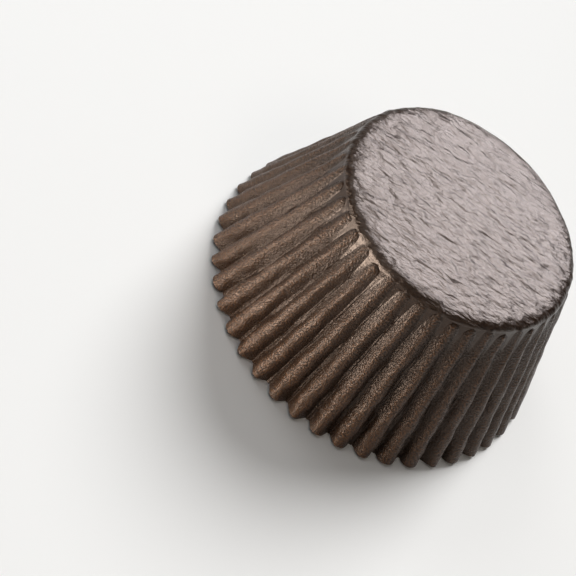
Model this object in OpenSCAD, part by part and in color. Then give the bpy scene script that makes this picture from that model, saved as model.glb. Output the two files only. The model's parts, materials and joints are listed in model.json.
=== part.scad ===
// Cupcake liner: one round sheet of paper, pressed into a flat base and a flared wall of fan pleats.
// It stands mouth down, as it lies on a table: the mouth's edge is at z = 0, the base faces up.
// The origin is the centre of the mouth's circle, on the surface that the liner stands on.

/* [Base] */
// Diameter of the flat base, to the corner where the wall starts
base_d = 50; // [40:1:56]
// Radius of the bend between the base and the wall
corner_r = 2.2; // [0.5:0.1:3]

/* [Wall] */
// Outside diameter over the ridges at the mouth
mouth_d = 76.5; // [70:0.1:84]
// Height from the mouth's lowest edge to the base's outer face
height = 34.2; // [26:0.1:44]
// Distance that the ridges stop short of the valleys at the mouth
edge_step = 0.8; // [0:0.1:1.5]
// Thickness of the paper
paper_t = 0.08; // [0.05:0.01:0.15]

/* [Pleats] */
// Number of pleats round the wall
pleats = 45; // [36:1:50]
// Depth of a pleat at the mouth, from ridge to valley
pleat_depth = 2.35; // [1.6:0.05:3]
// Radius of a ridge's round back at the mouth
ridge_r = 1.7; // [1.1:0.05:1.9]
// Radius of a ridge's back where it starts at the base
ridge_start_r = 0.6; // [0.3:0.05:1]
// Radius of the fold in a valley at the mouth
valley_r = 0.3; // [0.2:0.05:0.5]
// Length of wall over which a ridge grows to its full width
ridge_run = 12; // [6:1:24]

/* [Hidden] */

base_r = base_d / 2;
mouth_r = mouth_d / 2;
pleat_count = round(pleats);

// The line of a ridge: its lean away from the axis, and its length from the corner to the mouth
flare = atan2(mouth_r - base_r, height - edge_step);
slant = norm([mouth_r - base_r, height - edge_step]);

// The bend: the angle that the paper turns through, and how far it reaches along base and wall
bend_turn = 90 - flare;
bend_reach = corner_r * tan(bend_turn / 2);

// Rings round the liner, from the edge of the flat base to the mouth
bend_rings = [0, 0.35, 0.7, 1];
wall_rings = [0.2, 0.5, 1];
ring_count = len(bend_rings) + len(wall_rings);

// Radii of ridge and valley together: as the ridge widens along the wall, the valley closes
fold_r = ridge_r + valley_r;

// How much wider than its own circle the flat blank is, at a distance s from the corner.
// The paper doesn't stretch, so the pleats have to take this up.
function fan(s) = sqrt(pow(base_r + s, 2) - pow(base_r + s * sin(flare), 2));

// Depth of the pleats at a distance s along the ridge
function depth_at(s) = pleat_depth * fan(s) / fan(slant);

// Radius of the ridge's back at a distance s
function ridge_r_at(s) = ridge_start_r + (ridge_r - ridge_start_r) * min(1, s / ridge_run);

// Half the width of a pleat at a radius r
function half_pitch(r) = PI * r / pleat_count;

// Steepness of the flank between a ridge's arc and a valley's arc, tangent to both
function flank_angle(half, depth) =
    let(across = norm([half, fold_r - depth]))
    asin(min(1, fold_r / across)) - atan2(fold_r - depth, half);

// How far the paper lies inside the ridge's line, at a share u of the way from ridge to valley
function fold_in(u, half, depth, ridge) =
    let(valley = fold_r - ridge, angle = flank_angle(half, depth), y = u * half)
    depth <= 0 ? 0
    : y < ridge * sin(angle) ? ridge - sqrt(pow(ridge, 2) - pow(y, 2))
    : y > half - valley * sin(angle) ? depth - valley + sqrt(pow(valley, 2) - pow(half - y, 2))
    : ridge * (1 - cos(angle)) + (y - ridge * sin(angle)) * tan(angle);

// Columns of one pleat, as shares of its half width: 0 is the ridge, 1 the valley, 2 the next ridge.
// They lie where the flank meets the ridge's arc and the valley's arc at the mouth.
mouth_half = half_pitch(mouth_r);
mouth_angle = flank_angle(mouth_half, pleat_depth);
ridge_edge = ridge_r * sin(mouth_angle) / mouth_half;
valley_edge = 1 - valley_r * sin(mouth_angle) / mouth_half;
half_columns = [0, ridge_edge / 2, ridge_edge, valley_edge];
columns = concat(half_columns, [1], [for (i = [3 : -1 : 1]) 2 - half_columns[i]]);
around = pleat_count * len(columns);

// One ring as [radius, height, pleat depth, distance from the corner], on the line of a ridge
function bend_ring(share) =
    let(turn = share * bend_turn)
    [base_r - bend_reach + corner_r * sin(turn), height - corner_r * (1 - cos(turn)),
        depth_at(bend_reach) * pow(share, 2), bend_reach * share];
function wall_ring(share) =
    let(s = bend_reach + share * (slant - bend_reach))
    [base_r + s * sin(flare), height - s * cos(flare), depth_at(s), s];
rings = concat([for (share = bend_rings) bend_ring(share)], [for (share = wall_rings) wall_ring(share)]);

// A point of the outer face: its ring, and its place round the liner
function outer_point(ring, column) =
    let(
        place = columns[column % len(columns)],
        turn = 360 / pleat_count * (floor(column / len(columns)) + place / 2),
        inward = fold_in(min(place, 2 - place), half_pitch(ring[0]), ring[2], ridge_r_at(ring[3])),
        share_in = ring[2] > 0 ? inward / ring[2] : 0,
        r = ring[0] - inward
    )
    [r * cos(turn), r * sin(turn), ring[1] - edge_step * ring[3] / slant * share_in];

outer = [for (ring = rings) [for (column = [0 : around - 1]) outer_point(ring, column)]];

function unit(v) = v / norm(v);

// The outward direction of the outer face at a point, square to its neighbours' lines.
// It is upright on the flat base, and level at the mouth, where the edge is cut.
last_ring = ring_count - 1;
function outward(i, j) =
    let(
        round_line = outer[i][(j + 1) % around] - outer[i][(j + around - 1) % around],
        down_line = outer[min(i + 1, last_ring)][j] - outer[max(i - 1, 0)][j],
        square = cross(down_line, round_line)
    )
    i == 0 ? [0, 0, 1] : i == last_ring ? unit([square[0], square[1], 0]) : unit(square);

// The inner face lies a paper's thickness inside the outer one
inner = [for (i = [0 : last_ring]) [for (j = [0 : around - 1]) outer[i][j] - paper_t * outward(i, j)]];

function flat_list(rows) = [for (row = rows) for (item = row) item];

// Two triangles between the points a, b of one row and the points c, d beside them in the next.
// The line between them runs the other way on the other side of a ridge, so a pleat is symmetrical.
function two_faces(a, b, c, d, mirrored) = mirrored ? [[a, c, b], [b, c, d]] : [[a, d, b], [a, c, d]];

// Two triangles for each step round the liner, between two rows that start at the points p and q
function band(p, q) = flat_list([for (j = [0 : around - 1])
    let(k = (j + 1) % around, mirrored = columns[j % len(columns)] >= 1)
    two_faces(p + j, p + k, q + j, q + k, mirrored)]);

// The whole sheet: outer face, inner face and the cut edge at the mouth. The inner face has the outer
// one's triangles, turned to look inwards, so the paper has its thickness everywhere.
module liner() {
    centre = ring_count * around;
    inside = centre + 1;
    points = concat(flat_list(outer), [[0, 0, height]], flat_list(inner), [[0, 0, height - paper_t]]);
    base_faces = [for (j = [0 : around - 1]) [centre, (j + 1) % around, j]];
    wall_faces = flat_list([for (i = [0 : last_ring - 1]) band((i + 1) * around, i * around)]);
    outer_faces = concat(base_faces, wall_faces);
    inner_faces = [for (f = outer_faces) [f[0] + inside, f[2] + inside, f[1] + inside]];
    cut_edge = band(inside + last_ring * around, last_ring * around);
    color("#6a5344") polyhedron(points, concat(outer_faces, inner_faces, cut_edge), convexity = 10);
}

liner();
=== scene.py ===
"""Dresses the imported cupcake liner: one sheet of dark brown greaseproof paper, standing mouth down.

A few forms of one pleat are made from the rule of the pressed sheet. A node tree repeats them round
the axis and joins them to one sheet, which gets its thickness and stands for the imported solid.
"""

import json
import logging
import math
import random
from dataclasses import dataclass
from enum import Enum
from typing import Any, Sequence

import bpy
from mathutils import Matrix, Vector

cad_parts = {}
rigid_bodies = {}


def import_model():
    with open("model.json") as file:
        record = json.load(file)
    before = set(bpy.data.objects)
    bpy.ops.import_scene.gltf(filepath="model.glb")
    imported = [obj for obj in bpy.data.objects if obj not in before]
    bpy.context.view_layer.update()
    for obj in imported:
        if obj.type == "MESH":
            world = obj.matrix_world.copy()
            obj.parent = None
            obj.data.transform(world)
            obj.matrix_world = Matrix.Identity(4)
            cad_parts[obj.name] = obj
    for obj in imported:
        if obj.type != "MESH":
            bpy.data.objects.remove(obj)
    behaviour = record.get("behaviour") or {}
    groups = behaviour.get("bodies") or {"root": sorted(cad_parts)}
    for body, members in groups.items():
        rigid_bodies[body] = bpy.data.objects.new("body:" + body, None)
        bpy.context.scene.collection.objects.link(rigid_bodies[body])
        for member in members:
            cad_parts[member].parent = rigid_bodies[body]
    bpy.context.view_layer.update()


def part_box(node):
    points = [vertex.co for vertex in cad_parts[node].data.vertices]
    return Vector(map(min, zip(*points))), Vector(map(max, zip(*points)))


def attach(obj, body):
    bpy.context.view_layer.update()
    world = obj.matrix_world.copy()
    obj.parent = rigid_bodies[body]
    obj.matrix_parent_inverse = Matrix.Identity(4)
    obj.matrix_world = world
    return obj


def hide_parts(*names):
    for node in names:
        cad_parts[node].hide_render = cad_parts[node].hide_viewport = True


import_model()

LOG = logging.getLogger("cupcake_liner")
MM = 0.001
BODY = "root"
NODE = "liner"

# Share of the flat paper's crinkle that the press leaves in the wall
CRINKLE_LEFT = 0.3


class Zone(Enum):
    """The stretches of the sheet, from its middle to its cut edge."""

    BASE = "base"
    BEND = "bend"
    WALL = "wall"


class Target(Enum):
    """What a lamp lights."""

    ALL = "all"
    LINER = "liner"
    FLOOR = "floor"


def linear(hex_colour: str) -> tuple[float, float, float, float]:
    """Turns an sRGB hex colour into linear values.

    Args:
        hex_colour: The colour, such as "#6a5344".

    Returns:
        Red, green, blue and a full alpha, linear.
    """
    values = [int(hex_colour[i:i + 2], 16) / 255 for i in (1, 3, 5)]
    red, green, blue = (v / 12.92 if v <= 0.04045 else ((v + 0.055) / 1.055) ** 2.4 for v in values)
    return red, green, blue, 1.0


def add_node(tree: bpy.types.NodeTree, kind: str, settings: dict[str, Any] | None = None,
             inputs: dict[int | str, Any] | None = None) -> bpy.types.Node:
    """Adds a node with its settings and its inputs.

    Args:
        tree: The tree that gets the node.
        kind: The node's type name.
        settings: Properties of the node.
        inputs: For each input, by index or name, a value or the output socket to link.

    Returns:
        The new node.
    """
    node = tree.nodes.new(kind)
    for name, value in (settings or {}).items():
        setattr(node, name, value)
    for key, value in (inputs or {}).items():
        if isinstance(value, bpy.types.NodeSocket):
            tree.links.new(value, node.inputs[key])
        else:
            node.inputs[key].default_value = value
    return node


@dataclass(frozen=True)
class Row:
    """One line of points round the sheet, all as far from its middle.

    Attributes:
        zone: The stretch that the row is in.
        radius: Its distance from the axis on the line of a ridge.
        height: Its height on the line of a ridge.
        along: Its distance from the corner, along a ridge.
        share: How far the pleats have opened in the bend, from 0 to 1.
        flat_radius: Its distance from the middle of the flat blank.
    """

    zone: Zone
    radius: float
    height: float
    along: float
    share: float
    flat_radius: float


@dataclass(frozen=True)
class Waver:
    """A smooth random line along a pleat: sine waves with seeded phases.

    Attributes:
        kind: Seed of this kind of line, which is added to the pleat's own.
        size: Largest reach of the line.
        lengths: The lengths of its waves.
    """

    kind: int
    size: float
    lengths: tuple[float, ...]

    def at(self, place: float, seed: int) -> float:
        """Gives the line's value.

        Args:
            place: Distance from the corner in metres.
            seed: The pleat's own seed.

        Returns:
            The value, between minus the size and the size.
        """
        source = random.Random(self.kind + seed)
        waves = [math.sin(math.tau * (place / length + source.random())) for length in self.lengths]
        return self.size * sum(waves) / len(waves)


# How a pressed pleat wavers: sideways, in its ridge's radius and height, and in the gaps beside it
LEAN = Waver(0, 0.24 * MM, (31 * MM, 17 * MM, 9 * MM))
SHARPNESS = Waver(100, 0.45, (23 * MM, 11 * MM, 5 * MM))
DROP = Waver(200, 0.06 * MM, (13 * MM, 6 * MM))
GAP = Waver(300, 0.08, (21 * MM, 9 * MM))


@dataclass(frozen=True)
class PleatForm:
    """How one pressed pleat differs from the rule, in metres.

    Attributes:
        seed: Seed of its irregularities.
        start: Distance from the corner at which its ridge rises from the sheet.
        tip: Length over which the ridge's end widens.
        point: How pointed the ridge's end is; 1 is round.
        rise_share: Share of the tip over which the ridge gets its full height.
        lean_run: Length of wall over which its lean sets in.
        mean_drop: How far the ridge's back lies under its line, on average.
        mean_gap: Share of the pleat that is left beside the ridge's foot, on average.
    """

    seed: int
    start: float
    tip: float
    point: float
    rise_share: float = 0.7
    lean_run: float = 8 * MM
    mean_drop: float = 0.06 * MM
    mean_gap: float = 0.1

    def width(self, along: float) -> float:
        """Gives the ridge's share of the pleat at a distance from the corner, from 0 to 1."""
        way = min(1.0, max(0.0, (along - self.start) / self.tip))
        return (1 - (1 - way) ** 2) ** (0.5 * self.point)

    def rise(self, along: float) -> float:
        """Gives the share of its full height that the ridge has at a distance from the corner."""
        way = min(1.0, max(0.0, (along - self.start) / (self.rise_share * self.tip)))
        return math.sqrt(1 - (1 - way) ** 2)

    def lean(self, along: float) -> float:
        """Gives the ridge's sideways place at a distance from the corner."""
        return LEAN.at(along, self.seed) * min(1, along / self.lean_run)

    def sharpness(self, along: float) -> float:
        """Gives the factor on the ridge's radius at a distance from the corner."""
        return 1 + SHARPNESS.at(along, self.seed)

    def drop(self, along: float) -> float:
        """Gives how far the ridge's back lies under its line at a distance from the corner."""
        return self.mean_drop + DROP.at(along, self.seed)

    def gap(self, along: float, side: int) -> float:
        """Gives the share of the pleat that is left beside the ridge's foot, on the side -1 or 1."""
        return self.mean_gap + GAP.at(along, self.seed + side)


@dataclass(frozen=True)
class PleatRule:
    """The rule of the pressed sheet, in metres.

    Its main sizes are those of the part's source. Its folds and webs are finer than there, and its ridges
    widen over the whole wall.

    Attributes:
        mouth_radius: Outside radius over the ridges at the mouth.
        height: Height from the mouth's edge to the base's outer face.
        base_radius: Radius of the base, to the corner where the wall starts.
        corner: Radius of the bend between base and wall.
        edge_step: How far the ridges stop short of the valleys at the mouth.
        pleats: Number of pleats.
        pleat_depth: Depth of a pleat at the mouth.
        ridge: Radius of a ridge's back at the mouth.
        ridge_start: Radius of a ridge's back at the base.
        foot: Radius of the fold at a ridge's foot.
        foot_start: Radius of that fold at the base.
        ridge_run: Length of wall over which a ridge's back grows to its full radius.
        web_share: Share of a pleat that is flat web between two ridges, behind their ends.
        web_run: Length of wall over which the webs narrow to the gap between two feet.
        crease: How far the line in a gap's middle stands over the feet.
        least_width: Least share of a half pleat for a ridge, which it has before it rises.
        least_rise: Least height of a ridge, which it has before it rises.
        fold_limit: Most that the fold's radius is, as a share of both radii without a flank.
        arc_limit: Most that both radii are together, as such a share.
        arc_steps: Number of steps on half a ridge's arc.
        fold_steps: Number of steps on the fold at its foot.
        opening: Power with which the pleats open round the bend.
        crowding: Power that crowds the wall's rows towards the bend.
    """

    mouth_radius: float
    height: float
    base_radius: float = 25 * MM
    corner: float = 2.2 * MM
    edge_step: float = 0.8 * MM
    pleats: int = 45
    pleat_depth: float = 2.35 * MM
    ridge: float = 1.7 * MM
    ridge_start: float = 0.6 * MM
    foot: float = 0.22 * MM
    foot_start: float = 0.12 * MM
    ridge_run: float = 34 * MM
    web_share: float = 0.36
    web_run: float = 9 * MM
    crease: float = 0.16 * MM
    least_width: float = 0.12
    least_rise: float = 0.004 * MM
    fold_limit: float = 0.4
    arc_limit: float = 0.97
    arc_steps: int = 5
    fold_steps: int = 3
    opening: int = 3
    crowding: float = 1.6

    @property
    def flare(self) -> float:
        """The ridges' lean away from the axis."""
        return math.atan2(self.mouth_radius - self.base_radius, self.height - self.edge_step)

    @property
    def slant(self) -> float:
        """The length of a ridge from the corner to the mouth."""
        return math.hypot(self.mouth_radius - self.base_radius, self.height - self.edge_step)

    @property
    def bend_turn(self) -> float:
        """The angle that the paper turns through between base and wall."""
        return math.pi / 2 - self.flare

    @property
    def bend_reach(self) -> float:
        """How far the bend reaches along base and wall."""
        return self.corner * math.tan(self.bend_turn / 2)

    def fan(self, along: float) -> float:
        """Measures the paper that the pleats take up at a distance from the corner."""
        return math.sqrt((self.base_radius + along) ** 2
                         - (self.base_radius + along * math.sin(self.flare)) ** 2)

    def depth_at(self, along: float) -> float:
        """Gives the pleats' depth at a distance from the corner."""
        return self.pleat_depth * self.fan(along) / self.fan(self.slant)

    def half_pleat(self, row: Row, form: PleatForm, side: int) -> list[tuple[float, float, float]]:
        """Traces half a pleat from the top of its ridge to the middle of its valley.

        The ridge's arc, its flank and the fold at its foot are tangent to each other, and end on a flat web,
        which becomes a narrow creased gap further down.

        Args:
            row: The row of points that the trace is for.
            form: The pleat's own irregularities.
            side: The side of the ridge, -1 or 1.

        Returns:
            Points as their distance from the ridge's middle, how far they lie inside the ridge's line,
            and the share of the paper's length that is passed.
        """
        along = max(row.along, self.bend_reach)
        half = math.pi * (self.base_radius + along * math.sin(self.flare)) / self.pleats
        web = max(form.gap(along, side), self.web_share * (1 - along / self.web_run))
        valley = self.depth_at(along) - self.crease * min(1.0, along / self.web_run)
        width = half * max(self.least_width, (1 - web) * form.width(along))
        depth = self.depth_at(along)
        high = max(self.least_rise, depth * form.rise(along))
        foot = self.foot_start + (self.foot - self.foot_start) * min(1.0, along / self.ridge_run)
        ridge = self.ridge_start + (self.ridge - self.ridge_start) * min(1.0, along / self.ridge_run)
        # Both radii together if the ridge had no straight flank
        no_flank = (width ** 2 + high ** 2) / (2 * high)
        foot = min(foot, self.fold_limit * no_flank)
        ridge = min(ridge * form.sharpness(along), self.arc_limit * no_flank - foot)
        both = ridge + foot
        angle = math.asin(min(1.0, both / math.hypot(width, both - high))) - math.atan2(both - high, width)
        low = depth - high
        arc_turns = [angle * i / self.arc_steps for i in range(self.arc_steps + 1)]
        fold_turns = [angle * i / self.fold_steps for i in range(self.fold_steps, -1, -1)]
        top = [(ridge * math.sin(turn), low + ridge * (1 - math.cos(turn))) for turn in arc_turns]
        fold = [(width - foot * math.sin(turn), depth - foot * (1 - math.cos(turn))) for turn in fold_turns]
        flank = ((top[-1][0] + fold[0][0]) / 2, (top[-1][1] + fold[0][1]) / 2)
        trace = top + [flank] + fold + [(half, valley)]
        passed = [0.0]
        for (y, inward), (next_y, next_inward) in zip(trace, trace[1:]):
            passed.append(passed[-1] + math.hypot(next_y - y, next_inward - inward))
        return [(y / half, (inward + form.drop(along) * max(0.0, 1 - inward / valley)) * row.share,
                 way / passed[-1]) for (y, inward), way in zip(trace, passed)]

    def rows(self, base_rows: int, bend_rows: int, wall_rows: int) -> list[Row]:
        """Lists the rows of points from the middle of the base to the mouth.

        Args:
            base_rows: Number of steps on the base.
            bend_rows: Number of steps round the bend.
            wall_rows: Number of steps along the wall.

        Returns:
            The rows.
        """
        flat = self.base_radius - self.bend_reach
        rows = [Row(Zone.BASE, flat * i / base_rows, self.height, 0.0, 0.0, flat * i / base_rows)
                for i in range(base_rows)]
        for i in range(bend_rows + 1):
            share = i / bend_rows
            turn = share * self.bend_turn
            rows.append(Row(Zone.BEND, flat + self.corner * math.sin(turn),
                            self.height - self.corner * (1 - math.cos(turn)),
                            self.bend_reach * share, share ** self.opening, flat + self.corner * turn))
        for i in range(1, wall_rows + 1):
            along = self.bend_reach + (i / wall_rows) ** self.crowding * (self.slant - self.bend_reach)
            rows.append(Row(Zone.WALL, self.base_radius + along * math.sin(self.flare),
                            self.height - along * math.cos(self.flare), along, 1.0,
                            flat + self.corner * self.bend_turn + along - self.bend_reach))
        return rows


def stitch(start: int, shares: Sequence[float], next_start: int,
           next_shares: Sequence[float]) -> list[tuple[int, ...]]:
    """Joins two rows of points with faces that look outwards.

    Args:
        start: Index of the inner row's first point.
        shares: Places of the inner row's points.
        next_start: Index of the outer row's first point.
        next_shares: Places of the outer row's points.

    Returns:
        The faces: quads where the rows have as many points, else triangles.
    """
    if len(shares) == len(next_shares):
        return [(start + i, next_start + i, next_start + i + 1, start + i + 1)
                for i in range(len(shares) - 1)]
    faces: list[tuple[int, ...]] = []
    i = j = 0
    while i < len(shares) - 1 or j < len(next_shares) - 1:
        inner_next = shares[i + 1] if i < len(shares) - 1 else math.inf
        outer_next = next_shares[j + 1] if j < len(next_shares) - 1 else math.inf
        if outer_next <= inner_next:
            faces.append((start + i, next_start + j, next_start + j + 1))
            j += 1
        else:
            faces.append((start + i, next_start + j, start + i + 1))
            i += 1
    return faces


@dataclass(frozen=True)
class Grain:
    """One size of soft unevenness that runs along the paper's grain, in metres.

    Attributes:
        length: Its length along the grain.
        width: Its width across the grain.
        height: Its height on the flat paper.
        detail: Number of finer layers in its noise.
        roughness: Strength of those layers.
        distortion: How far the noise is twisted.
    """

    length: float
    width: float
    height: float
    detail: float
    roughness: float
    distortion: float


@dataclass(frozen=True)
class GreaseproofPaper:
    """Calendered greaseproof paper, dyed dark brown.

    Pressing between hot rollers leaves it smooth and a little waxy, so it has a satin sheen, which its
    grain of long soft crinkles and its fibres break up. The wall shows the same grain across the pleats.

    Attributes:
        dye: The paper's own colour.
        fibre_dark_and_fold_shade: The colour where its fibres lie close, and the painted shade in the folds
            between the ridges.
        sheen: The tint that its surface gives to what it reflects.
        gloss: Its roughness on the base.
        web_gloss: Its roughness on the webs, which the press stretches smooth.
        pressed_gloss: Its mean roughness on the pressed ridges.
        glint: How far single fibres are smoother or rougher than that.
        refraction: Its index of refraction, that of paper's cellulose and wax.
        grain_way: Direction of the grain on the blank, in degrees.
        crinkle: Its long soft crinkles.
        cockle: Its broader cockles.
        fibre: Width that its fibres are drawn with. Real ones are finer than the render can show.
        fibre_height: Height of the fibres on the base.
        pressed_fibre_height: Height of the fibres on the ridges, which the press roughens.
    """

    dye: str = "#4a3322"
    # Dark between the fibres, and the painted shade of the folds, webs and base
    fibre_dark_and_fold_shade: str = "#1a100a"
    sheen: str = "#ffe8d8"
    gloss: float = 0.28
    web_gloss: float = 0.22
    pressed_gloss: float = 0.38
    glint: float = 0.17
    refraction: float = 1.5
    grain_way: float = 20.0
    crinkle: Grain = Grain(1.5 * MM, 0.6 * MM, 0.13 * MM, 3.0, 0.6, 0.15)
    cockle: Grain = Grain(4 * MM, 2 * MM, 0.38 * MM, 1.0, 0.5, 0.2)
    fibre: float = 0.4 * MM
    fibre_height: float = 0.02 * MM
    pressed_fibre_height: float = 0.17 * MM

    def relief(self, tree: bpy.types.NodeTree, left: bpy.types.NodeSocket, pressed: bpy.types.NodeSocket,
               place: bpy.types.NodeSocket, fibres: bpy.types.NodeSocket) -> bpy.types.NodeSocket:
        """Adds the fibres, the crinkles and the cockles as bumps.

        Args:
            tree: The material's tree.
            left: How much of the flat paper's crinkle is left.
            pressed: 0 on the base and the webs, 1 on a ridge.
            place: The place on the flat blank.
            fibres: The pattern of the fibres.

        Returns:
            The normal.
        """
        fibre_rise = add_node(tree, "ShaderNodeMapRange", {}, {
            "Value": pressed, "To Min": self.fibre_height, "To Max": self.pressed_fibre_height})
        normal = add_node(tree, "ShaderNodeBump", {}, {
            "Distance": fibre_rise.outputs[0], "Height": fibres}).outputs[0]
        along_grain = add_node(tree, "ShaderNodeVectorRotate", {"rotation_type": "Z_AXIS"}, {
            "Vector": place, "Angle": math.radians(-self.grain_way)}).outputs[0]
        for grain in (self.crinkle, self.cockle):
            grain_place = add_node(tree, "ShaderNodeMapping", {}, {
                "Vector": along_grain, "Scale": (1 / grain.length, 1 / grain.width, 1)})
            pattern = add_node(tree, "ShaderNodeTexNoise", {"noise_dimensions": "2D"}, {
                "Vector": grain_place.outputs[0], "Scale": 1.0, "Detail": grain.detail,
                "Roughness": grain.roughness, "Distortion": grain.distortion})
            rise = add_node(tree, "ShaderNodeMath", {"operation": "MULTIPLY"}, {0: left, 1: grain.height})
            normal = add_node(tree, "ShaderNodeBump", {}, {
                "Distance": rise.outputs[0], "Height": pattern.outputs[0], "Normal": normal}).outputs[0]
        return normal

    def colour(self, tree: bpy.types.NodeTree, lift: bpy.types.NodeSocket,
               strong: bpy.types.NodeSocket) -> bpy.types.NodeSocket:
        """Adds the dye's shades.

        The folds between the ridges are darkened as painted shade, and the webs and the base with them; only
        the ridges' backs get the full dye.

        Args:
            tree: The material's tree.
            lift: How far the paper is lifted over the webs, from 0 to 1.
            strong: 0 between the fibres, 1 on a strong one.

        Returns:
            The colour.
        """
        # Painted shade: a fold, up to a lift of 0.35, keeps a fifth of the paler shade, as do the webs and
        # base below it; a back starts at 0.85
        painted_fold_shade = add_node(tree, "ShaderNodeMapRange", {}, {
            "Value": lift, "From Min": 0.35, "From Max": 0.85, "To Min": 0.2})
        fibre_tone_and_fold_shade = add_node(tree, "ShaderNodeMath", {"operation": "MULTIPLY"}, {
            0: strong, 1: painted_fold_shade.outputs[0]})
        # Mixes the fibres' tone with the painted shade of the folds
        return add_node(tree, "ShaderNodeMix", {"data_type": "RGBA"}, {
            "Factor": fibre_tone_and_fold_shade.outputs[0], 6: linear(self.fibre_dark_and_fold_shade), 7: linear(self.dye)}).outputs[2]

    def roughness(self, tree: bpy.types.NodeTree, left: bpy.types.NodeSocket,
                  pressed: bpy.types.NodeSocket, strong: bpy.types.NodeSocket) -> bpy.types.NodeSocket:
        """Adds the roughness, with the webs smoother than the base and glinting fibres on the ridges.

        Args:
            tree: The material's tree.
            left: How much of the flat paper's crinkle is left.
            pressed: 0 on the base and the webs, 1 on a ridge.
            strong: 0 between the fibres, 1 on a strong one, which lies flat and glints.

        Returns:
            The roughness.
        """
        flat = add_node(tree, "ShaderNodeMapRange", {}, {
            "Value": left, "From Min": CRINKLE_LEFT, "To Min": self.web_gloss, "To Max": self.gloss})
        ridges = add_node(tree, "ShaderNodeMapRange", {}, {
            "Value": strong, "To Min": self.pressed_gloss + self.glint,
            "To Max": self.pressed_gloss - self.glint})
        return add_node(tree, "ShaderNodeMapRange", {}, {
            "Value": pressed, "To Min": flat.outputs[0], "To Max": ridges.outputs[0]}).outputs[0]

    def make(self) -> bpy.types.Material:
        """Builds the material.

        Returns:
            The material, which reads the attributes of the sheet.
        """
        material = bpy.data.materials.new("dark_brown_greaseproof_paper")
        material.use_nodes = True
        tree = material.node_tree
        tree.nodes.clear()
        place = add_node(tree, "ShaderNodeAttribute", {"attribute_name": "flat_place"}).outputs["Vector"]
        lift = add_node(tree, "ShaderNodeAttribute", {"attribute_name": "lift"}).outputs["Fac"]
        left = add_node(tree, "ShaderNodeAttribute", {"attribute_name": "crinkle"}).outputs["Fac"]
        # The pleats are pressed, so they are rougher than the base and the webs, which have hardly any lift
        pressed = add_node(tree, "ShaderNodeMapRange", {"interpolation_type": "SMOOTHSTEP"}, {
            "Value": lift, "From Min": 0.04, "From Max": 0.4}).outputs[0]
        fibres = add_node(tree, "ShaderNodeTexNoise", {"noise_dimensions": "2D"}, {
            "Vector": place, "Scale": 1 / self.fibre, "Detail": 1.0, "Roughness": 0.6}).outputs[0]
        # Most of the noise lies between 0.4 and 0.6
        strong = add_node(tree, "ShaderNodeMapRange", {}, {
            "Value": fibres, "From Min": 0.4, "From Max": 0.6}).outputs[0]
        shader = add_node(tree, "ShaderNodeBsdfPrincipled", {}, {
            "Base Color": self.colour(tree, lift, strong),
            "Roughness": self.roughness(tree, left, pressed, strong),
            "IOR": self.refraction,
            "Specular Tint": linear(self.sheen),
            "Normal": self.relief(tree, left, pressed, place, fibres)})
        add_node(tree, "ShaderNodeOutputMaterial", {}, {"Surface": shader.outputs["BSDF"]})
        return material


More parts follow.
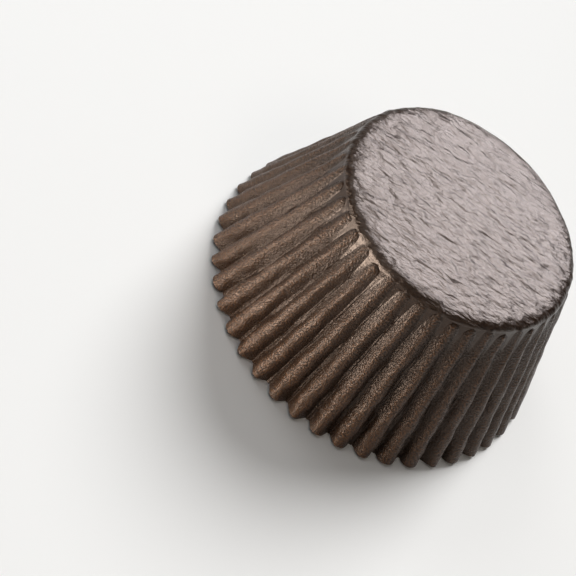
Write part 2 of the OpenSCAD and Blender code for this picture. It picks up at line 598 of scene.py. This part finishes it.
@dataclass
class PleatedLiner:
    """The liner's single sheet: forms of one pleat, repeated round the axis.

    Attributes:
        rule: The rule of the pressed sheet.
        finish: The paper's finish.
        paper: Thickness of the paper in metres.
        form_count: Number of different forms of a pleat.
        form_seed: Seed of the forms.
        starts: Least and greatest distance from the corner to a ridge's end, in millimetres.
        tips: Shortest and longest ridge's end, in millimetres.
        points: Least and most pointed ridge's end, where 1 is round.
        place_seed: Seed of the form that each place round the axis gets, and of the sags and dents.
        sag: Depth of the soft sags in metres.
        sag_size: Their size.
        dent: Depth of the small dents in metres.
        dent_size: Their size.
        upright_from: Height in metres from which sags and dents have their full upright part.
        weld: Distance in metres within which points of neighbouring pleats are joined.
        web_lift: Least lift that the finish counts away from the base, also in the gaps between two feet.
        rim: Distance in metres on either side of the corner over which the crinkle grows.
        rim_crinkle: Crinkle that the corner has over the rest of the base.
        sharp_angle: Angle in degrees from which an edge is drawn sharp, as the cut edge is.
        base_rows: Number of steps on the base.
        bend_rows: Number of steps round the bend.
        wall_rows: Number of steps along the wall.
        base_step: Length of a step round the base in metres.
    """

    rule: PleatRule
    finish: GreaseproofPaper
    paper: float = 0.08 * MM
    form_count: int = 11
    form_seed: int = 7
    starts: tuple[float, float] = (0.9, 2.0)
    tips: tuple[float, float] = (1.0, 2.2)
    points: tuple[float, float] = (0.6, 1.3)
    place_seed: int = 5
    sag: float = 0.12 * MM
    sag_size: float = 9 * MM
    dent: float = 0.045 * MM
    dent_size: float = 2.4 * MM
    upright_from: float = 6 * MM
    weld: float = 0.003 * MM
    web_lift: float = 0.4
    rim: float = 2.5 * MM
    rim_crinkle: float = 1.5
    sharp_angle: float = 60.0
    base_rows: int = 26
    bend_rows: int = 7
    wall_rows: int = 38
    base_step: float = 0.9 * MM

    def one_pleat(self, form: PleatForm) -> bpy.types.Object:
        """Makes one pleat with its slice of the base, from valley to valley.

        Args:
            form: The pleat's own irregularities.

        Returns:
            The object, with each point's place on the flat blank as its distance and its turn, how far it
            is lifted over the webs, and how much of the flat paper's crinkle the press has left there.
        """
        rule = self.rule
        pitch = math.tau / rule.pleats
        points: list[tuple[float, float, float]] = []
        flat_radii: list[float] = []
        flat_turns: list[float] = []
        lifts: list[float] = []
        crinkles: list[float] = []
        lines: list[tuple[int, list[float]]] = []
        for row in rule.rows(self.base_rows, self.bend_rows, self.wall_rows):
            if row.zone is Zone.BASE:
                count = max(1, round(row.radius * pitch / self.base_step))
                shares = [2 * i / count - 1 for i in range(count + 1)] if row.radius > 0 else [0.0]
                trace = [(share, 0.0, share) for share in shares]
            else:
                left, right = (rule.half_pleat(row, form, side) for side in (-1, 1))
                trace = [(-y, inward, -way) for y, inward, way in reversed(left[1:])] + right
            lines.append((len(points), [y for y, _, _ in trace]))
            depth = rule.depth_at(max(row.along, rule.bend_reach)) * row.share
            # The lean as a share of half a pleat, with the middle counted as 1 mm from the axis
            lean = form.lean(row.along) / (math.pi * max(row.radius, MM) / rule.pleats)
            least_lift = self.web_lift * min(1.0, row.along / rule.web_run) ** 2 * row.share
            rim = max(0.0, 1 - abs(row.flat_radius - rule.base_radius) / self.rim)
            crinkle = 1 - (1 - CRINKLE_LEFT) * row.share + self.rim_crinkle * rim * (1 - row.share)
            for y, inward, way in trace:
                turn = (y + lean * (1 - y * y)) * pitch / 2
                radius = row.radius - inward
                down = rule.edge_step * row.along / rule.slant * (inward / depth if depth else 0.0)
                points.append((radius * math.cos(turn), radius * math.sin(turn), row.height - down))
                flat_radii.append(row.flat_radius)
                flat_turns.append(way * pitch / 2)
                lifted = max(0.0, row.share - inward / depth) if depth else 0.0
                lifts.append(max(lifted, least_lift))
                crinkles.append(crinkle)
        faces: list[tuple[int, ...]] = []
        for (start, shares), (next_start, next_shares) in zip(lines, lines[1:]):
            faces += stitch(start, shares, next_start, next_shares)
        mesh = bpy.data.meshes.new("one_pleat")
        mesh.from_pydata(points, [], faces)
        for name, values in (("flat_radius", flat_radii), ("flat_turn", flat_turns), ("lift", lifts),
                             ("crinkle", crinkles)):
            mesh.attributes.new(name, "FLOAT", "POINT").data.foreach_set("value", values)
        return bpy.data.objects.new(f"one_pleat_{form.seed:02d}", mesh)

    def ring(self, tree: bpy.types.NodeTree,
             given: dict[str, bpy.types.NodeSocket]) -> bpy.types.NodeSocket:
        """Adds the nodes that put a form of a pleat at each place round the axis.

        Args:
            tree: The liner's node tree.
            given: Its named inputs.

        Returns:
            The pleats as one geometry, with each point's turn and flat place as attributes.
        """
        pitch = add_node(tree, "ShaderNodeMath", {"operation": "DIVIDE"}, {0: math.tau, 1: given["Pleats"]})
        index = add_node(tree, "GeometryNodeInputIndex").outputs[0]
        turn = add_node(tree, "ShaderNodeMath", {"operation": "MULTIPLY"}, {0: index, 1: pitch.outputs[0]})
        spots = add_node(tree, "GeometryNodePoints", {}, {"Count": given["Pleats"]})
        turned = add_node(tree, "GeometryNodeStoreNamedAttribute", {"data_type": "FLOAT"}, {
            "Geometry": spots.outputs[0], "Name": "turn", "Value": turn.outputs[0]})
        last_form = add_node(tree, "ShaderNodeMath", {"operation": "SUBTRACT"}, {
            0: given["Form Count"], 1: 1.0})
        pick = add_node(tree, "FunctionNodeRandomValue", {"data_type": "INT"}, {
            4: 0, 5: last_form.outputs[0], "ID": index, "Seed": given["Seed"]})
        forms = add_node(tree, "GeometryNodeCollectionInfo", {}, {
            "Collection": given["Forms"], "Separate Children": True, "Reset Children": True})
        own_turn, flat_radius, flat_turn = (
            add_node(tree, "GeometryNodeInputNamedAttribute", {"data_type": "FLOAT"}, {
                "Name": name}).outputs[0]
            for name in ("turn", "flat_radius", "flat_turn"))
        angles = add_node(tree, "ShaderNodeCombineXYZ", {}, {"Z": own_turn})
        copies = add_node(tree, "GeometryNodeInstanceOnPoints", {}, {
            "Points": turned.outputs[0], "Instance": forms.outputs[0], "Pick Instance": True,
            "Instance Index": pick.outputs[2], "Rotation": angles.outputs[0]})
        whole = add_node(tree, "GeometryNodeRealizeInstances", {}, {"Geometry": copies.outputs[0]})
        # Each point's place on the flat blank, which the paper's grain follows
        angle = add_node(tree, "ShaderNodeMath", {"operation": "ADD"}, {0: own_turn, 1: flat_turn})
        spoke = add_node(tree, "ShaderNodeCombineXYZ", {}, {"X": flat_radius})
        blank = add_node(tree, "ShaderNodeVectorRotate", {"rotation_type": "Z_AXIS"}, {
            "Vector": spoke.outputs[0], "Angle": angle.outputs[0]})
        return add_node(tree, "GeometryNodeStoreNamedAttribute", {"data_type": "FLOAT_VECTOR"}, {
            "Geometry": whole.outputs[0], "Name": "flat_place", "Value": blank.outputs[0]}).outputs[0]

    def soften(self, tree: bpy.types.NodeTree, given: dict[str, bpy.types.NodeSocket],
               sheet: bpy.types.NodeSocket) -> bpy.types.NodeSocket:
        """Adds soft sags and small dents, square to the paper.

        Their upright part fades out towards the mouth, so that its edge stays level.

        Args:
            tree: The liner's node tree.
            given: Its named inputs.
            sheet: The joined sheet.

        Returns:
            The sheet with its sags and dents.
        """
        position = add_node(tree, "GeometryNodeInputPosition").outputs[0]
        height = add_node(tree, "ShaderNodeSeparateXYZ", {}, {0: position}).outputs["Z"]
        free = add_node(tree, "ShaderNodeMapRange", {}, {"Value": height, "From Max": given["Upright From"]})
        upright = add_node(tree, "ShaderNodeCombineXYZ", {}, {"X": 1.0, "Y": 1.0, "Z": free.outputs[0]})
        normal = add_node(tree, "GeometryNodeInputNormal").outputs[0]
        for name in ("Sag", "Dent"):
            noise = add_node(tree, "ShaderNodeTexNoise", {"noise_dimensions": "4D"}, {
                "Vector": position, "W": given["Seed"], "Scale": given[f"{name} Scale"], "Detail": 1.0})
            # Most of the noise lies between 0.25 and 0.75
            swing = add_node(tree, "ShaderNodeMapRange", {}, {
                "Value": noise.outputs[0], "From Min": 0.25, "From Max": 0.75, "To Min": -1.0})
            reach = add_node(tree, "ShaderNodeMath", {"operation": "MULTIPLY"}, {
                0: swing.outputs[0], 1: given[name]})
            push = add_node(tree, "ShaderNodeVectorMath", {"operation": "SCALE"}, {
                0: normal, "Scale": reach.outputs[0]})
            offset = add_node(tree, "ShaderNodeVectorMath", {"operation": "MULTIPLY"}, {
                0: push.outputs[0], 1: upright.outputs[0]})
            sheet = add_node(tree, "GeometryNodeSetPosition", {}, {
                "Geometry": sheet, "Offset": offset.outputs[0]}).outputs[0]
        return sheet

    def tree(self) -> bpy.types.NodeTree:
        """Builds the node tree that repeats the forms round the axis and joins them.

        Returns:
            The tree, with named inputs for its numbers and sizes.
        """
        tree = bpy.data.node_groups.new("pleats_round_the_axis", "GeometryNodeTree")
        face = tree.interface
        face.new_socket("Geometry", in_out="INPUT", socket_type="NodeSocketGeometry")
        for name, kind in (("Pleats", "Int"), ("Forms", "Collection"), ("Form Count", "Int"),
                           ("Seed", "Int"), ("Weld", "Float"), ("Upright From", "Float"),
                           ("Sag", "Float"), ("Sag Scale", "Float"), ("Dent", "Float"),
                           ("Dent Scale", "Float"), ("Material", "Material")):
            face.new_socket(name, in_out="INPUT", socket_type=f"NodeSocket{kind}")
        face.new_socket("Geometry", in_out="OUTPUT", socket_type="NodeSocketGeometry")
        given = {socket.name: socket for socket in add_node(tree, "NodeGroupInput").outputs}
        joined = add_node(tree, "GeometryNodeMergeByDistance", {}, {
            "Geometry": self.ring(tree, given), "Distance": given["Weld"]})
        soft = self.soften(tree, given, joined.outputs[0])
        smooth = add_node(tree, "GeometryNodeSetShadeSmooth", {}, {"Geometry": soft})
        dressed = add_node(tree, "GeometryNodeSetMaterial", {}, {
            "Geometry": smooth.outputs[0], "Material": given["Material"]})
        add_node(tree, "NodeGroupOutput", {}, {"Geometry": dressed.outputs[0]})
        return tree

    def build(self) -> bpy.types.Object:
        """Makes the sheet as one plain closed mesh and hands it to its body.

        Returns:
            The liner's one piece.
        """
        source = random.Random(self.form_seed)
        forms = bpy.data.collections.new("pleat_forms")
        for seed in range(self.form_count):
            start = source.uniform(*self.starts) * MM
            tip = source.uniform(*self.tips) * MM
            point = source.uniform(*self.points)
            forms.objects.link(self.one_pleat(PleatForm(seed, start, tip, point)))
        host = bpy.data.objects.new("host", bpy.data.meshes.new("host"))
        bpy.context.scene.collection.objects.link(host)
        nodes = host.modifiers.new("pleats", "NODES")
        nodes.node_group = self.tree()
        names = {item.name: item.identifier for item in nodes.node_group.interface.items_tree
                 if item.in_out == "INPUT"}
        for name, value in (("Pleats", self.rule.pleats), ("Forms", forms), ("Form Count", self.form_count),
                            ("Seed", self.place_seed), ("Weld", self.weld),
                            ("Upright From", self.upright_from), ("Sag", self.sag),
                            ("Sag Scale", 1 / self.sag_size), ("Dent", self.dent),
                            ("Dent Scale", 1 / self.dent_size), ("Material", self.finish.make())):
            nodes[names[name]] = value
        wall = host.modifiers.new("thickness", "SOLIDIFY")
        wall.thickness = self.paper
        wall.offset = -1
        graph = bpy.context.evaluated_depsgraph_get()
        mesh = bpy.data.meshes.new_from_object(host.evaluated_get(graph))
        mesh.name = "liner_paper"
        mesh.set_sharp_from_angle(angle=math.radians(self.sharp_angle))
        for made in [host, *forms.objects]:
            bpy.data.objects.remove(made)
        bpy.data.collections.remove(forms)
        piece = bpy.data.objects.new("liner_paper", mesh)
        bpy.context.scene.collection.objects.link(piece)
        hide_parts(NODE)
        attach(piece, BODY)
        return piece


@dataclass(frozen=True)
class Panel:
    """A soft panel lamp that faces the liner.

    Attributes:
        name: The lamp's name.
        azimuth: Its direction from the liner, in degrees from +X towards +Y.
        elevation: Its height over the horizon in degrees.
        distance: Its distance in metres.
        size: Its width and height in metres.
        level: Its brightness, where 1 is that of a white surface in full light.
        colour: Its sRGB hex colour.
        target: What it lights.
        near: Whether it stands close to the liner, so that the camera mustn't see it.
    """

    name: str
    azimuth: float
    elevation: float
    distance: float
    size: tuple[float, float]
    level: float
    colour: str
    target: Target = Target.ALL
    near: bool = False


@dataclass(frozen=True)
class Sun:
    """A soft sun, which lights a floor of any size evenly.

    Attributes:
        name: The lamp's name.
        azimuth: Its direction, in degrees from +X towards +Y.
        elevation: Its height over the horizon in degrees.
        width: The angle that it fills, in degrees.
        level: The brightness of a white floor under it, where 1 is that of a white surface in full light.
        target: What it lights.
    """

    name: str
    azimuth: float
    elevation: float
    width: float
    level: float
    target: Target


# The near panels and the back panel would leave bright patches on the floor, so they light the liner
# alone. The floor gets a soft sun from the back panel's side instead, with the liner's shadow.
LAMPS = (
    Sun("soft_sun", 94, 41, 28, 0.68, Target.FLOOR),
    Panel("back_panel", 94, 41, 0.6, (0.3, 0.32), 15.0, "#f5f7ff", Target.LINER),
    Panel("low_panel", 230, -5, 0.115, (0.08, 0.027), 7.2, "#fff6ec", Target.LINER, near=True),
    Panel("near_panel", 251, -11.1, 0.0883, (0.055, 0.014), 17.0, "#fff6ec", Target.LINER, near=True),
    Panel("front_panel", 250, 48, 0.3, (0.12, 0.2), 2.0, "#ffffff", Target.LINER, near=True),
    Panel("top_panel", 120, 69, 0.6, (0.28, 0.28), 2.0, "#ffffff"),
    Panel("left_panel", 208, 56, 0.6, (0.22, 0.22), 1.5, "#ffffff"),
    Panel("side_panel", 155, 44, 0.6, (0.22, 0.2), 3.5, "#ffffff"),
    Panel("right_panel", 330, 52, 0.6, (0.2, 0.2), 2.5, "#fff0e0"),
)


@dataclass
class Studio:
    """A plain pale floor, soft lamps and the camera at the photograph's angle.

    Attributes:
        eye: The camera's place in metres.
        aim: The point that the camera looks at.
        roll: The camera's turn about its own line of sight, in degrees.
        lens: Focal length in millimetres.
        sensor: Width of the sensor in millimetres.
        subject: The point that the panels face.
        floor_reach: Distance from the axis to the floor's sides, in metres.
        floor_colour: The floor's colour.
        world_light: The strength with which the world lights.
        world_seen: Its strength for the camera, which sees it as pale as the floor.
    """

    eye: tuple[float, float, float] = (10.25 * MM, -158.2 * MM, 167.0 * MM)
    aim: tuple[float, float, float] = (-11.17 * MM, -30.7 * MM, 17 * MM)
    roll: float = 40.48
    lens: float = 67.56
    sensor: float = 36.0
    subject: tuple[float, float, float] = (0, 0, 25 * MM)
    floor_reach: float = 30.0
    floor_colour: str = "#efefee"
    world_light: float = 0.06
    world_seen: float = 0.8

    def camera(self) -> bpy.types.Object:
        """Places the camera and makes it the scene's own.

        Returns:
            The camera.
        """
        data = bpy.data.cameras.new("camera")
        data.lens = self.lens
        data.sensor_width = self.sensor
        data.clip_start = 1 * MM
        camera = bpy.data.objects.new("camera", data)
        bpy.context.scene.collection.objects.link(camera)
        sight = (Vector(self.aim) - Vector(self.eye)).to_track_quat("-Z", "Y").to_matrix().to_4x4()
        camera.matrix_world = (Matrix.Translation(self.eye) @ sight
                               @ Matrix.Rotation(math.radians(self.roll), 4, "Z"))
        bpy.context.scene.camera = camera
        return camera

    def floor(self) -> bpy.types.Object:
        """Lays the pale floor that the liner stands on.

        Returns:
            The floor.
        """
        mesh = bpy.data.meshes.new("floor")
        reach = self.floor_reach
        corners = [(-reach, -reach, 0), (reach, -reach, 0), (reach, reach, 0), (-reach, reach, 0)]
        mesh.from_pydata(corners, [], [(0, 1, 2, 3)])
        material = bpy.data.materials.new("pale_floor")
        material.use_nodes = True
        tree = material.node_tree
        tree.nodes.clear()
        shader = add_node(tree, "ShaderNodeBsdfPrincipled", {}, {
            "Base Color": linear(self.floor_colour), "Roughness": 0.9, "Specular IOR Level": 0.1})
        add_node(tree, "ShaderNodeOutputMaterial", {}, {"Surface": shader.outputs["BSDF"]})
        mesh.materials.append(material)
        floor = bpy.data.objects.new("floor", mesh)
        bpy.context.scene.collection.objects.link(floor)
        return floor

    def lamp(self, plan: Panel | Sun) -> bpy.types.Object:
        """Adds one of the lamps.

        Args:
            plan: The panel or the sun.

        Returns:
            The lamp.
        """
        turn, rise = math.radians(plan.azimuth), math.radians(plan.elevation)
        away = Vector((math.cos(turn) * math.cos(rise), math.sin(turn) * math.cos(rise), math.sin(rise)))
        facing = (-away).to_track_quat("-Z", "Y").to_matrix().to_4x4()
        if isinstance(plan, Sun):
            data = bpy.data.lights.new(plan.name, "SUN")
            data.energy = plan.level * math.pi / math.sin(rise)
            data.angle = math.radians(plan.width)
            place = Matrix.Identity(4)
        else:
            data = bpy.data.lights.new(plan.name, "AREA")
            data.shape = "RECTANGLE"
            data.size, data.size_y = plan.size
            data.energy = plan.level * math.pi * plan.size[0] * plan.size[1]
            data.color = linear(plan.colour)[:3]
            place = Matrix.Translation(Vector(self.subject) + away * plan.distance)
        lamp = bpy.data.objects.new(plan.name, data)
        bpy.context.scene.collection.objects.link(lamp)
        lamp.matrix_world = place @ facing
        return lamp

    def light(self, liner: bpy.types.Object, floor: bpy.types.Object) -> None:
        """Sets the lamps, each with what it lights.

        Args:
            liner: The liner.
            floor: The floor.
        """
        alone: dict[Target, bpy.types.Collection] = {}
        for target, lit in ((Target.LINER, liner), (Target.FLOOR, floor)):
            alone[target] = bpy.data.collections.new(f"lit_{target.value}")
            alone[target].objects.link(lit)
        for plan in LAMPS:
            lamp = self.lamp(plan)
            if plan.target in alone:
                lamp.light_linking.receiver_collection = alone[plan.target]
            if isinstance(plan, Panel) and plan.near:
                lamp.visible_camera = False

    def world(self) -> None:
        """Sets a dim even world and the plain view transform.

        The camera sees the world as pale as the floor. Paper has no clear reflections to show it in.
        """
        world = bpy.data.worlds.new("studio")
        bpy.context.scene.world = world
        world.use_nodes = True
        tree = world.node_tree
        tree.nodes.clear()
        seen = add_node(tree, "ShaderNodeLightPath").outputs["Is Camera Ray"]
        strength = add_node(tree, "ShaderNodeMapRange", {}, {
            "Value": seen, "To Min": self.world_light, "To Max": self.world_seen})
        sky = add_node(tree, "ShaderNodeBackground", {}, {
            "Color": linear("#ffffff"), "Strength": strength.outputs[0]})
        add_node(tree, "ShaderNodeOutputWorld", {}, {"Surface": sky.outputs[0]})
        bpy.context.scene.view_settings.view_transform = "Standard"


def main() -> None:
    """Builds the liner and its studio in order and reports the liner."""
    logging.basicConfig(level=logging.INFO, format="%(name)s: %(message)s")
    _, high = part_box(NODE)
    studio = Studio()
    studio.camera()
    floor = studio.floor()
    liner = PleatedLiner(PleatRule(mouth_radius=high[0], height=high[2]), GreaseproofPaper()).build()
    LOG.info("%s: %d triangles", liner.name, sum(len(face.vertices) - 2 for face in liner.data.polygons))
    studio.light(liner, floor)
    studio.world()


if __name__ == "__main__":
    main()
